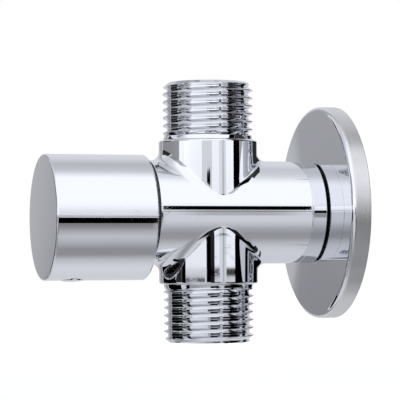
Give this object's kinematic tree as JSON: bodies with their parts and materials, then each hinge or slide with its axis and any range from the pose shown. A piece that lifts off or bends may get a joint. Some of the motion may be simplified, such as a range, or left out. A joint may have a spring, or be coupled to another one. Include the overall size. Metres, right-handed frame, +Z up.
{
  "type": "shut-off valve",
  "caption": "Wall-mounted shut-off valve: chromed tee with opposed threaded outlets, a quarter-turn ceramic headwork under a round knob, and a sliding wall escutcheon.",
  "frame": {"origin": "on the main axis, in the plane of the escutcheon's back rim, which is the wall's surface", "axes": "+X into the wall along the inlet, +Z up along the upper outlet, knob at the -X end"},
  "size_m": [0.0754, 0.0496, 0.06],
  "materials": {
    "chrome_body": "polished chrome on brass",
    "chrome_nipple": "polished chrome on brass",
    "chrome_knob": "polished chrome on zinc",
    "chrome_escutcheon": "polished chrome on steel, brushed rim",
    "brass": "turned brass",
    "stainless": "woven stainless mesh",
    "zinc_steel": "zinc-plated steel",
    "black_rubber": "smooth nitrile rubber",
    "white_plastic": "smooth white plastic",
    "ceramic": "lapped alumina"
  },
  "bodies": {
    "valve": {"valve_body": "chrome_body", "inlet_nipple": "chrome_nipple", "inlet_strainer": "stainless", "headwork_housing": "brass", "slip_washer": "white_plastic", "fixed_disc": "ceramic", "seat_seal": "black_rubber", "seal_backing_ring": "white_plastic", "headwork_o_ring": "black_rubber", "nipple_o_ring": "black_rubber", "escutcheon_o_ring": "black_rubber"},
    "handle": {"knob": "chrome_knob", "knob_grub_screw": "zinc_steel", "knob_screw_cap": "chrome_knob", "spindle": "brass", "spindle_o_ring_outer": "black_rubber", "spindle_o_ring_inner": "black_rubber", "spindle_circlip": "zinc_steel", "turning_disc": "ceramic"},
    "wall_plate": {"escutcheon": "chrome_escutcheon"}
  },
  "joints": [
    {"name": "knob_turn", "type": "hinge", "parent": "valve", "child": "handle", "pos_m": [-0.06, 0, 0], "axis": [-1, 0, 0], "range_deg": [0, 90]},
    {"name": "escutcheon_slide", "type": "slide", "parent": "valve", "child": "wall_plate", "axis": [1, 0, 0], "range_m": [0, 0.004]}
  ]
}
